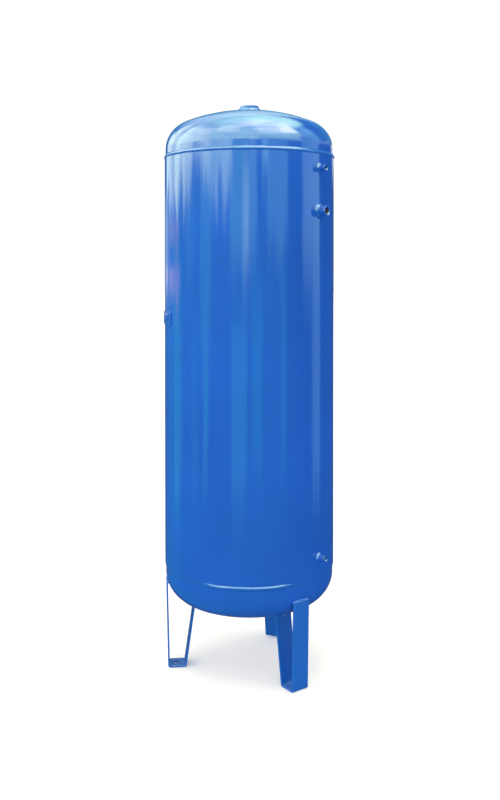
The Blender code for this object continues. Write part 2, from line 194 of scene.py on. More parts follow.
def piece(name, points, material, node=None, wrap=(True, True), tags=None,
          smooth=SHARP, place=None, caps=2):
    """Skin a grid of points into a smooth object that stands for a node of the frame.

    A grid that is open along its rows gets its first row capped, and its last with caps=2.
    """
    rows, columns = points.shape[:2]
    index = np.arange(rows * columns).reshape(rows, columns)
    ends = [] if wrap[0] else [index[0].tolist(), index[-1][::-1].tolist()][:caps]
    if wrap[0]:
        index = np.vstack([index, index[:1]])
    if wrap[1]:
        index = np.hstack([index, index[:, :1]])
    quads = np.stack([index[:-1, :-1], index[:-1, 1:], index[1:, 1:], index[1:, :-1]], axis=-1)
    mesh = bpy.data.meshes.new(name)
    mesh.from_pydata(points.reshape(-1, 3).tolist(), [], quads.reshape(-1, 4).tolist() + ends)
    for tag, values in (tags or {}).items():
        layer = mesh.attributes.new(tag, "FLOAT", "POINT")
        layer.data.foreach_set("value", np.ascontiguousarray(values, dtype=np.float32).ravel())
    return finish_piece(name, mesh, material, node, smooth, place)


def finish_piece(name, mesh, material, node, smooth, place):
    """Shade a mesh smooth, give it its material and place, and let it stand for its node."""
    work = bmesh.new()
    work.from_mesh(mesh)
    bmesh.ops.recalc_face_normals(work, faces=work.faces)
    work.to_mesh(mesh)
    work.free()
    mesh.shade_smooth()
    mesh.set_sharp_from_angle(angle=math.radians(smooth))
    mesh.materials.append(material)
    item = bpy.data.objects.new(name, mesh)
    bpy.context.scene.collection.objects.link(item)
    if place:
        item.matrix_world = place
    if node:
        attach(item, "root")
        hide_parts(node)
    return item


def drill(item, cutters):
    """Cut holes with exact booleans and keep the result as the object's mesh."""
    for cutter in cutters:
        modifier = item.modifiers.new("hole", "BOOLEAN")
        modifier.operation = "DIFFERENCE"
        modifier.solver = "EXACT"
        modifier.object = cutter
    bpy.context.view_layer.update()
    evaluated = item.evaluated_get(bpy.context.evaluated_depsgraph_get())
    mesh = bpy.data.meshes.new_from_object(evaluated)
    item.modifiers.clear()
    item.data = mesh
    for cutter in cutters:
        bpy.data.objects.remove(cutter, do_unlink=True)
    mesh.shade_smooth()
    mesh.set_sharp_from_angle(angle=math.radians(SHARP))


def rod(radius, place):
    """A cutter for a round hole, reaching CUTTER_REACH both ways along its own Z axis."""
    profile = [(radius, -CUTTER_REACH), (radius, CUTTER_REACH)]
    points = turned(profile, CUTTER_STEPS).transpose(1, 0, 2)
    return piece("rod", points, enamel, wrap=(False, True), place=place)


def standing_out(radius, turn, height):
    """The place of a piece whose own Z axis points out of the tank's wall."""
    spot = Vector((radius * math.cos(turn), radius * math.sin(turn), height))
    return (Matrix.Translation(spot) @ Matrix.Rotation(turn, 4, "Z")
            @ Matrix.Rotation(math.pi / 2, 4, "Y"))


def arc(centre, radius, start, end, steps):
    angle = np.linspace(start, end, steps + 1)
    return list(zip(centre[0] + radius * np.cos(angle), centre[1] + radius * np.sin(angle)))


def dish_points(inset, hole_radius):
    """Knuckle and crown, as (radius, height over the tangent line), inset from the outside."""
    turn = math.pi / 2 - CROWN_ANGLE
    crown = CROWN_RADIUS - inset
    points = arc((HEAD_RADIUS - KNUCKLE_RADIUS, 0.0), KNUCKLE_RADIUS - inset, 0.0, turn, 40)
    last = math.acos(hole_radius / crown)
    return points + arc((0.0, HEAD_DEPTH - CROWN_RADIUS), crown, turn, last, 30)[1:]


def dish_drop(radius):
    """How far the dish's outside has fallen from its apex at a radius."""
    radius = np.asarray(radius, float)
    crown = CROWN_RADIUS - np.sqrt(CROWN_RADIUS ** 2 - radius ** 2)
    reach = np.clip(radius - (HEAD_RADIUS - KNUCKLE_RADIUS), 0.0, KNUCKLE_RADIUS)
    knuckle = HEAD_DEPTH - np.sqrt(KNUCKLE_RADIUS ** 2 - reach ** 2)
    return np.where(radius <= CROWN_RADIUS * math.sin(CROWN_ANGLE), crown, knuckle)


def dish_radius(height):
    """Radius of the knuckle's outside at a height over the tangent line."""
    return HEAD_RADIUS - KNUCKLE_RADIUS + np.sqrt(KNUCKLE_RADIUS ** 2 - height ** 2)


# ---------------------------------------------------------------- materials

def node(tree, kind, inputs=None, **settings):
    made = tree.nodes.new("ShaderNode" + kind)
    for key, value in settings.items():
        setattr(made, key, value)
    for key, value in (inputs or {}).items():
        if isinstance(value, bpy.types.NodeSocket):
            tree.links.new(value, made.inputs[key])
        else:
            made.inputs[key].default_value = value
    return made


def math_node(tree, operation, first, second=0.0, third=0.0, clamp=False):
    made = node(tree, "Math", {0: first, 1: second, 2: third}, operation=operation,
                use_clamp=clamp)
    return made.outputs[0]


def product(tree, *factors):
    total = factors[0]
    for factor in factors[1:]:
        total = math_node(tree, "MULTIPLY", total, factor)
    return total


def ramp(tree, value, low, high, to_low=0.0, to_high=1.0):
    """A soft step: to_low below low, to_high above high."""
    made = node(tree, "MapRange", {"Value": value, "From Min": low, "From Max": high,
                                   "To Min": to_low, "To Max": to_high},
                interpolation_type="SMOOTHSTEP")
    return made.outputs["Result"]


def blend(tree, factor, first, second):
    made = node(tree, "Mix", {0: factor, 6: first, 7: second}, data_type="RGBA")
    return made.outputs[2]


def speckle(tree, place, scale, detail=2.0, stretch=None, roughness=0.5):
    """Noise over object space, in waves per metre."""
    if stretch:
        place = node(tree, "Mapping", {"Vector": place, "Scale": stretch}).outputs[0]
    made = node(tree, "TexNoise", {"Vector": place, "Scale": scale, "Detail": detail,
                                   "Roughness": roughness})
    return made.outputs[0]


def start_material(name):
    material = bpy.data.materials.new(name)
    material.use_nodes = True
    tree = material.node_tree
    return material, tree, tree.nodes["Principled BSDF"]


def attribute(tree, name):
    return node(tree, "Attribute", attribute_name=name).outputs["Fac"]


def connect(tree, shader, **sockets):
    names = {"colour": "Base Color", "roughness": "Roughness", "metallic": "Metallic",
             "normal": "Normal"}
    for key, value in sockets.items():
        tree.links.new(value, shader.inputs[names[key]])


def raw_steel(tree, place):
    """Colour and roughness of unpainted mill steel with light rust."""
    grime = speckle(tree, place, 60.0, 6.0, roughness=0.65)
    rust = blend(tree, ramp(tree, grime, 0.35, 0.7), (0.045, 0.032, 0.028, 1),
                 (0.20, 0.075, 0.03, 1))
    return rust, ramp(tree, grime, 0.3, 0.7, 0.55, 0.85)


def rubbed_steel(tree, place):
    """Colour of steel where the paint has worn off, stained here and there."""
    steel = blend(tree, speckle(tree, place, 300.0, 3.0), (0.36, 0.34, 0.33, 1),
                  (0.62, 0.60, 0.58, 1))
    stain = ramp(tree, speckle(tree, place, 130.0, 5.0), 0.55, 0.72, 0.0, 0.8)
    return blend(tree, stain, steel, (0.22, 0.10, 0.05, 1))


def settled_dust(tree, place):
    """Patchy dust on what faces upwards, from 0 to 1."""
    normal = node(tree, "NewGeometry").outputs["Normal"]
    upward = node(tree, "SeparateXYZ", {0: normal}).outputs["Z"]
    return product(tree, ramp(tree, upward, 0.55, 1.0),
                   ramp(tree, speckle(tree, place, 26.0, 7.0), 0.42, 0.75))


def paint_film(tree, place, colour, dust, scuffs):
    """The paint's colour: slight mottle, a fine lighter grain, dust and scuffs."""
    deep = tuple(0.93 * c for c in colour) + (1,)
    fresh = tuple(1.06 * c for c in colour) + (1,)
    pale = tuple(1.5 * c + 0.01 for c in colour) + (1,)
    film = blend(tree, ramp(tree, speckle(tree, place, 3.1, 3.0), 0.3, 0.7), deep, fresh)
    fine = speckle(tree, place, 55.0, 4.0)
    film = blend(tree, ramp(tree, fine, 0.55, 0.85, 0.0, 0.10), film, pale)
    film = blend(tree, product(tree, dust, 0.045), film, (0.42, 0.50, 0.60, 1))
    return blend(tree, product(tree, scuffs, 0.12), film, (0.30, 0.45, 0.70, 1))


def paint_relief(tree, place, scuff_lines, bare, inner, grain):
    """The surface's fine shape in metres: orange peel, nibs, scuffs, worn spots and pits."""
    peel = product(tree, speckle(tree, place, 230.0, 2.0), 0.000028 * grain)
    nibs = node(tree, "TexVoronoi", {"Vector": place, "Scale": 75.0}, feature="F1")
    nib = product(tree, ramp(tree, nibs.outputs["Distance"], 0.0, 0.10, 1.0, 0.0),
                  ramp(tree, nibs.outputs["Color"], 0.80, 0.86))
    pits = product(tree, inner, speckle(tree, place, 500.0, 4.0))
    height = math_node(tree, "MULTIPLY_ADD", nib, 0.00009, peel)
    height = math_node(tree, "MULTIPLY_ADD", scuff_lines, 0.000006, height)
    height = math_node(tree, "MULTIPLY_ADD", bare, -0.00008, height)
    return math_node(tree, "MULTIPLY_ADD", pits, 0.0003, height)


def painted(name, colour, roughness, wear=0.0, grain=1.0):
    """Sprayed enamel, worn where tagged.

    The tag edge marks edges that rub, by the share wear, the tag bare marks rubbed steel, and the
    tag rust marks unpainted inner faces.
    """
    material, tree, shader = start_material(name)
    place = node(tree, "TexCoord").outputs["Object"]
    dust = settled_dust(tree, place)
    scuff_lines = speckle(tree, place, 1.0, 2.0, stretch=(7.0, 9.0, 420.0))
    scuffs = product(tree, ramp(tree, scuff_lines, 0.66, 0.74),
                     ramp(tree, speckle(tree, place, 2.3, 2.0), 0.60, 0.70))
    film = paint_film(tree, place, colour, dust, scuffs)
    streaks = speckle(tree, place, 1.0, 3.0, stretch=(60.0, 60.0, 2.2))
    shine = math_node(tree, "ADD", ramp(tree, streaks, 0.3, 0.8, roughness, roughness + 0.05),
                      product(tree, scuffs, 0.18))
    shine = math_node(tree, "ADD", shine, product(tree, dust, 0.06))

    chips = math_node(tree, "SUBTRACT", speckle(tree, place, 240.0, 5.0, roughness=0.6), 0.5)
    rubbed = math_node(tree, "ADD", attribute(tree, "bare"),
                       product(tree, attribute(tree, "edge"), wear))
    bare = ramp(tree, math_node(tree, "ADD", rubbed, chips), 0.70, 0.78)
    inner = attribute(tree, "rust")
    rust, rust_roughness = raw_steel(tree, place)
    surface = blend(tree, inner, blend(tree, bare, film, rubbed_steel(tree, place)), rust)
    metal = math_node(tree, "MULTIPLY", bare, math_node(tree, "SUBTRACT", 0.9, inner), clamp=True)
    shine = ramp(tree, bare, 0.0, 1.0, shine, 0.36)
    shine = ramp(tree, inner, 0.0, 1.0, shine, rust_roughness)
    height = paint_relief(tree, place, scuff_lines, bare, inner, grain)
    bump = node(tree, "Bump", {"Height": height, "Strength": 1.0, "Distance": 1.0})
    connect(tree, shader, colour=surface, roughness=shine, metallic=metal,
            normal=bump.outputs[0])
    shader.inputs["IOR"].default_value = 1.5
    return material


BLUE = (0.0118, 0.087, 0.430)
# The legs wear the same blue paint as the tank, but they get a lighter copy of it. That extra
# lightness is painted light, so that the legs look as brightly lit as the shell.
LEG_BLUE_PAINTED_LIGHTER = (0.0122, 0.110, 0.455)
WELD_BLUE = (0.0108, 0.094, 0.410)
enamel = painted("blue_enamel_paint", BLUE, 0.09)
leg_enamel_painted_lighter = painted("leg_enamel_paint", LEG_BLUE_PAINTED_LIGHTER, 0.16, wear=0.62)
weld_enamel = painted("weld_enamel_paint", WELD_BLUE, 0.14, wear=0.05, grain=1.6)
leg_weld_enamel = painted("leg_weld_enamel_paint", WELD_BLUE, 0.40, wear=0.05, grain=2.2)
socket_enamel = painted("socket_enamel_paint", BLUE, 0.12, wear=0.60)
plate_enamel = painted("plate_enamel_paint", BLUE, 0.11, wear=0.6, grain=0.6)
screw_enamel = painted("screw_enamel_paint", BLUE, 0.15, wear=0.5)


# ---------------------------------------------------------------- vessel

def uneven_shell(angle, radius, height):
    """Rolling flats and slight shrinkage beside the girth welds."""
    away = np.minimum(height - SHELL_BOTTOM, SHELL_TOP - height)
    radius = radius + wobble(3, ROLLING_FLATS, angle, height, 9, 9.0)
    radius = radius + wobble(5, FINE_WAVES, angle, height, 26, 40.0)
    return radius - SHRINKAGE * np.exp(-away / SHRUNK_REACH), height


def build_shell():
    inside = SHELL_RADIUS - SHELL_WALL
    rows = np.linspace(SHELL_BOTTOM, SHELL_TOP, 90)
    profile = [(SHELL_RADIUS, z) for z in rows] + [(inside, z) for z in rows[::-1]]
    shell = piece("shell_skin", turned(profile, ROUND, uneven_shell), enamel, "shell")
    holes = []
    for size_name, azimuth, height in WALL_SOCKETS.values():
        place = socket_place(azimuth, height)
        holes.append(rod(SOCKET_SIZES[size_name]["outer"] + GAP, place))
    drill(shell, holes)
    mesh = shell.data
    spots = np.empty(len(mesh.vertices) * 3)
    mesh.vertices.foreach_get("co", spots)
    reach = np.hypot(*spots.reshape(-1, 3).T[:2])
    layer = mesh.attributes.new("rust", "FLOAT", "POINT")
    layer.data.foreach_set("value", (reach < SHELL_RADIUS - 0.6 * SHELL_WALL).astype(np.float32))


def build_head(name, tangent, direction, hole_radius, seed):
    """A dished head with a bare inside, opening downwards for direction 1."""
    outside = [(HEAD_RADIUS, -HEAD_SKIRT - HEAD_LAP), (HEAD_RADIUS, -HEAD_SKIRT)]
    outside += dish_points(0.0, hole_radius)
    inside = [(HEAD_RADIUS - HEAD_WALL, -HEAD_SKIRT - HEAD_LAP),
              (HEAD_RADIUS - HEAD_WALL, -HEAD_SKIRT)] + dish_points(HEAD_WALL, hole_radius)
    profile = [(r, direction * h) for r, h in outside + inside[::-1]]

    def uneven(angle, radius, height):
        swell = wobble(seed, PRESSED_WAVES, angle, height, 6, 24.0)
        swell = swell + wobble(seed + 1, FINE_WAVES, angle, height, 24, 60.0)
        rim = np.clip((radius - hole_radius) / 0.05, 0.0, 1.0)
        open_part = np.clip((direction * height + HEAD_SKIRT) / 0.03, 0.0, 1.0)
        return radius, height + direction * swell * rim * open_part

    points = turned(profile, ROUND, uneven)
    rust = np.tile([0.0] * len(outside) + [1.0] * len(inside), (ROUND, 1))
    points[:, :, 2] += tangent
    piece(name + "_skin", points, enamel, name, tags={"rust": rust})


def ripples(along, across, pitch, seed, bow=0.35):
    """Height of a bead's crescents: along in metres, across from 0 to 1 over its width."""
    chance = np.random.RandomState(seed)
    drift = 0.35 * np.sin(along * 31.0 + chance.uniform(0, TURN))
    phase = along / pitch + drift + bow * (2 * across - 1) ** 2
    saw = phase - np.floor(phase)
    return np.sin(math.pi * saw) ** 0.7 * (1.15 - 0.5 * saw) - 0.5


def build_girth_weld(name, edge, direction, seed, flush, stop=0.0):
    """A machine-laid bead, flatter by flush away from GIRTH_PROUD, with a lump in its middle."""
    on_shell, on_head = SHELL_RADIUS + GAP, HEAD_RADIUS + GAP
    steps = int(round(TURN * SHELL_RADIUS / GIRTH_PITCH)) * 6
    angle = np.linspace(0, TURN, steps, endpoint=False)[:, None]
    share = np.linspace(0.0, 1.0, 13)[None, :]
    lean = 1.0 + 0.05 * np.sin(9 * angle + seed) + 0.04 * np.sin(23 * angle + 2 * seed)
    away = np.abs((angle - GIRTH_PROUD + math.pi) % TURN - math.pi)
    lean = lean * (1.0 - flush * np.clip((away - GIRTH_PROUD_HALF) / GIRTH_FADE, 0.0, 1.0))
    arch = np.sin(math.pi * share)
    scale = ripples(angle * SHELL_RADIUS, share, TURN * SHELL_RADIUS * 6 / steps, seed)
    radius = on_shell + (on_head - on_shell) * share + GIRTH_BULGE * lean * arch ** 0.9
    lump = np.exp(-(away * SHELL_RADIUS / STOP_REACH) ** 2 - ((share - 0.82) / 0.15) ** 2)
    radius = radius + GIRTH_RIPPLE * scale * arch - GIRTH_SINK + stop * lump
    width = 1.0 + 0.04 * np.sin(13 * angle + seed) + 0.03 * np.sin(31 * angle)
    height = -GIRTH_ON_SHELL + (GIRTH_ON_SHELL + GIRTH_ON_HEAD) * ((share - 0.5) * width + 0.5)
    behind = GIRTH_SINK + 0.0002
    back = [(on_head - behind, GIRTH_ON_HEAD * 0.9), (on_head - behind, GAP),
            (on_shell - behind, -GIRTH_ON_SHELL * 0.5)]
    for r, h in back:
        radius = np.hstack([radius, np.full((steps, 1), r)])
        height = np.hstack([height, np.full((steps, 1), h)])
    points = np.stack([radius * np.cos(angle), radius * np.sin(angle),
                       edge + direction * height], axis=-1)
    piece(name + "_bead", points, weld_enamel, name, smooth=BEAD_SHARP)


def build_shell_seam():
    """The straight bead that closes the rolled shell, between the two girth welds."""
    clear = GIRTH_ON_SHELL + GAP
    low, high = SHELL_BOTTOM + clear, SHELL_TOP - clear
    height = np.linspace(low, high, int((high - low) / HAND_PITCH) * 6)[:, None]
    share = np.linspace(0.0, 1.0, 11)[None, :]
    arch = np.sin(math.pi * share)
    scale = ripples(height, share, HAND_PITCH, 4)
    drift = 0.0004 * np.sin(height * 23.0) + 0.0003 * np.sin(height * 61.0)
    radius = SHELL_RADIUS - 0.0003 + SEAM_HEIGHT * arch ** 0.8 + 0.0002 * scale * arch
    across = SEAM_WIDTH * (share - 0.5) + drift
    back = SHELL_RADIUS - 0.001
    radius = np.hstack([radius, np.full((len(height), 1), back)])
    across = np.hstack([across, np.zeros((len(height), 1))])
    turn = SEAM_AZIMUTH + across / SHELL_RADIUS
    points = np.stack([radius * np.cos(turn), radius * np.sin(turn),
                       np.broadcast_to(height, radius.shape)], axis=-1)
    piece("shell_seam_bead", points, weld_enamel, "shell_seam_weld", wrap=(False, True),
          smooth=BEAD_SHARP)


# ---------------------------------------------------------------- sockets

def socket_place(azimuth, height):
    return standing_out(SHELL_RADIUS, math.radians(azimuth), height)


def shell_surface(along, across):
    """Height of the shell over the tangent plane at a socket, along and across the tank."""
    return np.sqrt(SHELL_RADIUS ** 2 - across ** 2) - SHELL_RADIUS


def dish_surface(along, across):
    return -dish_drop(np.hypot(along, across))


def build_socket(name, size, surface, place):
    """A turned socket with a countersunk parallel thread, and its weld."""
    outer, bore, out, inward = size["outer"], size["bore"], size["out"], size["inward"]
    pitch = size["pitch"]
    depth = THREAD_DEPTH * pitch
    round_off = SOCKET_ROUNDING
    outside = [(outer, -inward)] + [(outer, z) for z in np.linspace(-inward + 0.002, 0.6 * out, 6)]
    outside += arc((outer - round_off, out - round_off), round_off, 0.0, math.pi / 2, 6)
    land = bore + depth + MOUTH_CHAMFER
    rows = np.arange(out, -inward, -pitch / 9)
    thread = [(land, z) for z in rows] + [(land, -inward)]
    face = [(outer - round_off - 0.0004, out), (land + 0.0003, out)]
    profile = outside + face + thread
    first_thread = len(outside) + len(face)

    def threaded(angle, radius, height):
        phase = height / pitch - angle / TURN
        wave = 0.5 - 0.5 * np.cos(TURN * phase)
        cut_in = bore + depth * wave ** 0.9
        mouth = land - (out - height) * LEAD_IN
        tail = bore + depth - (height + inward) * LEAD_IN
        inner = np.maximum(np.maximum(cut_in, mouth), tail)
        is_thread = np.arange(radius.shape[1]) >= first_thread
        return np.where(is_thread, inner, radius), height

    points = turned(profile, SOCKET_STEPS, threaded)
    count = len(profile)
    bare, rust, edge = np.zeros(count), np.zeros(count), np.zeros(count)
    deep = np.array([out - z for r, z in profile[first_thread:]])
    bare[first_thread:] = 0.42 * np.exp(-((deep - size["painted"]) / 0.001) ** 2)
    rust[first_thread:] = 0.92 * np.clip((deep - size["painted"]) / 0.003, 0.0, 1.0)
    edge[len(outside) - 8:len(outside) + 1] = 0.5
    tags = {key: np.tile(values, (SOCKET_STEPS, 1)) for key, values in
            (("bare", bare), ("rust", rust), ("edge", edge))}
    piece(name + "_turned", points, socket_enamel, name, tags=tags,
          place=place, smooth=TURNED_SHARP)

    build_socket_weld(name, size, surface, place)


def build_socket_weld(name, size, surface, place):
    """The rippled fillet between a socket and the plate, whose surface it follows."""
    outer, leg = size["outer"], size["weld"]
    around = int(round(TURN * (outer + leg / 2) / (0.4 * leg + 0.001)))
    angle = np.linspace(0, TURN, around * 7, endpoint=False)[:, None]
    share = np.linspace(0.0, 1.0, 12)[None, :]
    seed = int(outer * 1e5)
    scale = ripples(angle * outer, share, TURN * outer / around, seed, bow=0.5)
    uneven = 1.0 + 0.07 * np.sin(3 * angle + seed) + 0.05 * np.sin(7 * angle)
    swell = np.sin(math.pi * share)
    run = TURN * outer / max(4, round(TURN * outer / RUN_LENGTH))
    stops = ripples(angle * outer, share, run, seed + 1, bow=0.9)
    crown = (0.026 * scale + STOP_HEIGHT * stops) * leg * swell
    away = leg * uneven * np.cos(math.pi / 2 * share) ** FILLET_POWER + crown
    rise = leg * uneven * np.sin(math.pi / 2 * share) ** FILLET_POWER + crown
    radius = np.hstack([outer - 0.0002 + away, np.full((len(angle), 1), outer - SINK)])
    rise = np.hstack([rise - 0.0003, np.full((len(angle), 1), -2 * SINK)])
    x, y = radius * np.cos(angle), radius * np.sin(angle)
    points = np.stack([x, y, surface(x, y) + rise], axis=-1)
    piece(name + "_bead", points, weld_enamel, name + "_weld",
          place=place, smooth=BEAD_SHARP)


# ---------------------------------------------------------------- legs

def rounded_corner(before, corner, after, radius, steps=14):
    """The arc that rounds a corner between two straight runs."""
    corner = Vector(corner)
    to_before = (Vector(before) - corner).normalized()
    to_after = (Vector(after) - corner).normalized()
    half = to_before.angle(to_after) / 2
    centre = corner + (to_before + to_after).normalized() * (radius / math.sin(half))
    start = corner + to_before * (radius / math.tan(half)) - centre
    turn = (math.pi - 2 * half) * (1 if to_before.cross(to_after) < 0 else -1)
    return [tuple(centre + Matrix.Rotation(turn * step / steps, 2) @ start)
            for step in range(steps + 1)]


def arm_end(foot, lean):
    """Where a leaning arm meets the dish, found by repeated approach."""
    x, z = foot
    for _ in range(12):
        z = BOTTOM_APEX + float(dish_drop(x)) - GAP
        x = foot[0] + lean * (z - foot[1])
    return (x, z)


def strap_outline():
    """The bent bar's two faces in its own plane, as (radius, height) points."""
    outer_lean = (LEG_TOP_RADIUS - FOOT_OUTER) / LEG_TOP
    inner_rise = BOTTOM_APEX + float(dish_drop(INNER_ARM_RADIUS))
    inner_lean = (INNER_ARM_RADIUS - FOOT_INNER) / inner_rise
    thick_outer = STRAP_THICKNESS * math.hypot(1, outer_lean)
    thick_inner = STRAP_THICKNESS * math.hypot(1, inner_lean)
    foot_top = STRAP_THICKNESS
    outside = [(LEG_TOP_RADIUS, LEG_TOP), (FOOT_OUTER, 0.0), (FOOT_INNER, 0.0)]
    outside.append(arm_end(outside[-1], inner_lean))
    inside = [(LEG_TOP_RADIUS - thick_outer, LEG_TOP),
              (FOOT_OUTER - thick_outer + outer_lean * foot_top, foot_top),
              (FOOT_INNER + thick_inner + inner_lean * foot_top, foot_top)]
    inside.append(arm_end(inside[-1], inner_lean))
    outline = []
    for path, radius in ((outside, BEND_OUTSIDE), (inside, BEND_INSIDE)):
        bends = (rounded_corner(path[0], path[1], path[2], radius)
                 + rounded_corner(path[1], path[2], path[3], radius))
        outline.append([path[0]] + bends + [path[3]])
    return outline


def refine(points, parts):
    """Split the two long arms of an outline into equal parts, leaving its bends as they are."""
    points = [np.array(p) for p in points]
    first = [points[0] + (points[1] - points[0]) * t for t in np.linspace(0, 1, parts)[:-1]]
    last = [points[-2] + (points[-1] - points[-2]) * t for t in np.linspace(0, 1, parts)[1:]]
    return np.array(first + points[1:-1] + last)


def strap_section():
    """A rolled bar's section: (share through the thickness, offset across, is it an edge)."""
    half, radius = STRAP_WIDTH / 2, STRAP_EDGE
    share = radius / STRAP_THICKNESS
    shoulder = 0.0028
    loop = []
    for side in (-1, 1):
        face = 0.0 if side < 0 else 1.0
        inward = 1 if side < 0 else -1
        for y in (-half + shoulder, -half / 2, 0.0, half / 2, half - shoulder):
            loop.append((face, -side * y, 0.0))
        for step in range(7):
            bend = math.pi / 2 * step / 6
            loop.append((face + inward * share * (1 - math.cos(bend)),
                         -side * (half - radius + radius * math.sin(bend)), 1.0))
        for t in (0.36, 0.64):
            loop.append((face + inward * t, -side * half, 0.6))
        other = face + inward
        for step in range(6):
            bend = math.pi / 2 * (1 - step / 6)
            loop.append((other - inward * share * (1 - math.cos(bend)),
                         -side * (half - radius + radius * math.sin(bend)), 1.0))
    return loop


def strap_points():
    """The strap's grid of points, with the wear of its edges and of the foot's underside."""
    outside, inside = (refine(path, 24) for path in strap_outline())
    share, across, edge = np.array(strap_section()).T
    rows = len(outside)
    points = np.empty((rows, len(share), 3))
    for row in range(rows):
        through = inside[row] - outside[row]
        flat = outside[row] + share[:, None] * through
        points[row] = np.column_stack([flat[:, 0], across, flat[:, 1]])
    pull = STRAP_EDGE * 0.7
    for row, nearer in ((0, 1), (rows - 1, rows - 2)):
        middle = points[row].mean(axis=0)
        inset = points[row].copy()
        reach = np.linalg.norm(inset - middle, axis=1, keepdims=True)
        inset += (middle - inset) * pull / reach
        step = points[nearer] - points[row]
        step *= pull / np.linalg.norm(step, axis=1, keepdims=True)
        points[nearer] = points[row] + step
        points[row] = inset
    low = np.exp(-points[:, :, 2] / 0.05)
    wear = np.tile(edge, (rows, 1)) * (0.55 + 0.45 * low)
    wear[0], wear[-1] = 0.5, 0.5
    return points, wear + 0.25 * (points[:, :, 2] < 0.0008)


def outer_weld_points():
    """The weld over the top edge of a leg's outer arm, against the knuckle."""
    share = np.linspace(-1.0, 1.0, 145)[:, None]
    y = share * (STRAP_WIDTH / 2 + 0.0005)
    low = LEG_TOP - SINK
    scale = ripples(y + 1.0, 0.5, HAND_PITCH, 12)
    swell = (1 - 0.55 * np.abs(share) ** 7) * (1 + 0.05 * scale + 0.06 * np.sin(9 * share + 1.0))
    high = LEG_TOP + OUTER_WELD_HEIGHT * swell
    wall_high = np.sqrt(dish_radius(BOTTOM_TANGENT - high) ** 2 - y * y) - 0.0004
    edge = LEG_TOP_RADIUS - SINK
    turn = np.linspace(0.0, math.pi / 2, 10)[None, :]
    radius = wall_high + (edge + 0.0012 * swell - wall_high) * np.cos(turn) ** 0.8
    height = low + (high - low) * np.sin(turn) ** 0.8
    bulge = 0.0003 * scale * np.sin(2 * turn)
    radius, height = radius + bulge, height + bulge
    wall_low = np.sqrt(dish_radius(BOTTOM_TANGENT - low) ** 2 - y * y) - SINK
    radius = np.hstack([radius, wall_low])
    height = np.hstack([height, np.full_like(wall_low, low)])
    return np.stack([radius, np.broadcast_to(y, radius.shape), height], axis=-1)


def inner_weld_points():
    """The weld all round the end of a leg's inner arm, under the dish."""
    outside, inside = strap_outline()
    top, below = Vector(outside[-1]), Vector(outside[-2])
    lean = (top.x - below.x) / (top.y - below.y)
    half_x = (inside[-1][0] - lean * (inside[-1][1] - top.y) - top.x) / 2
    centre = top.x + half_x
    half_y, corner = STRAP_WIDTH / 2, 0.0012
    outline = []
    for quarter in range(4):
        swap = quarter % 2 == 1
        reach, side = (half_y, abs(half_x)) if swap else (abs(half_x), half_y)
        angle = quarter * math.pi / 2
        forward = np.array((math.cos(angle), math.sin(angle)))
        left = np.array((-forward[1], forward[0]))
        for along in np.linspace(corner - side, side - corner, 6 if swap else 90)[:-1]:
            outline.append((*(forward * reach + left * along), *forward))
        for bend in np.linspace(0.0, math.pi / 2, 12)[:-1]:
            normal = forward * math.cos(bend) + left * math.sin(bend)
            base = forward * (reach - corner) + left * (side - corner)
            outline.append((*(base + corner * normal), *normal))
    x, y, normal_x, normal_y = (np.array(column)[:, None] for column in zip(*outline))
    length = np.cumsum(np.hypot(np.diff(x[:, 0], prepend=x[0, 0]),
                                np.diff(y[:, 0], prepend=y[0, 0])))[:, None]
    share = np.linspace(0.0, 1.0, 9)[None, :]
    scale = ripples(length, share, HAND_PITCH, 8)
    swell = 1 + 0.05 * scale + 0.08 * np.sin(length * 110.0)
    away = INNER_WELD_LEG * swell * np.cos(math.pi / 2 * share) ** 1.2
    drop = INNER_WELD_LEG * swell * np.sin(math.pi / 2 * share) ** 1.2
    away = np.hstack([away - 0.0002, np.full_like(x, -SINK)])
    drop = np.hstack([drop - 0.0003, np.full_like(x, -0.0004)])
    px, py = centre + x + normal_x * away, y + normal_y * away
    z = np.full_like(px, top.y)
    for _ in range(6):
        shifted = px + lean * (z - top.y)
        z = BOTTOM_APEX + dish_drop(np.hypot(shifted, py)) - drop
    return np.stack([shifted, py, z], axis=-1)


def build_legs():
    strap, wear = strap_points()
    outer, inner = outer_weld_points(), inner_weld_points()
    for number, azimuth in enumerate(LEG_AZIMUTHS, start=1):
        place = Matrix.Rotation(math.radians(azimuth), 4, "Z")
        name = "leg_%d" % number
        leg = piece(name + "_strap", strap, leg_enamel_painted_lighter, name, wrap=(False, True),
                    tags={"edge": wear}, place=place)
        drill(leg, [rod(ANCHOR_RADIUS, place @ Matrix.Translation((ANCHOR_CENTRE, 0, 0)))])
        piece(name + "_outer_bead", outer, leg_weld_enamel, name + "_outer_weld",
              wrap=(False, True), place=place, smooth=BEAD_SHARP)
        piece(name + "_inner_bead", inner, leg_weld_enamel, name + "_inner_weld",
              place=place, smooth=BEAD_SHARP)


# ---------------------------------------------------------------- data plate

def curved_sheet(size, inside, corner, edge, bow=0.0):
    """A rolled sheet with rounded corners and eased edges, bowed outwards at mid height."""
    width, height, thickness = size
    stations = np.sin(np.linspace(-math.pi / 2, math.pi / 2, 61)) * width / 2
    loops = []
    for along in stations:
        into_corner = max(0.0, abs(along) - (width / 2 - corner))
        half = height / 2 - corner + math.sqrt(max(0.0, corner ** 2 - into_corner ** 2))
        near, far = inside, inside + thickness
        loop = [(far, level) for level in np.linspace(-half + 2 * edge, half - 2 * edge, 15)]
        loop += [(far - edge + edge * math.cos(a), half - edge + edge * math.sin(a))
                 for a in np.linspace(0, math.pi / 2, 5)]
        loop += [(near, half), (near, 0.0), (near, -half)]
        loop += [(far - edge + edge * math.cos(a), -half + edge - edge * math.sin(a))
                 for a in np.linspace(math.pi / 2, 0, 5)]
        turn = along / far
        bowed = [(r + bow * (r > near) * (1 - (z / half) ** 2), z) for r, z in loop]
        loops.append([(r * math.cos(turn), r * math.sin(turn), z) for r, z in bowed])
    return np.array(loops)


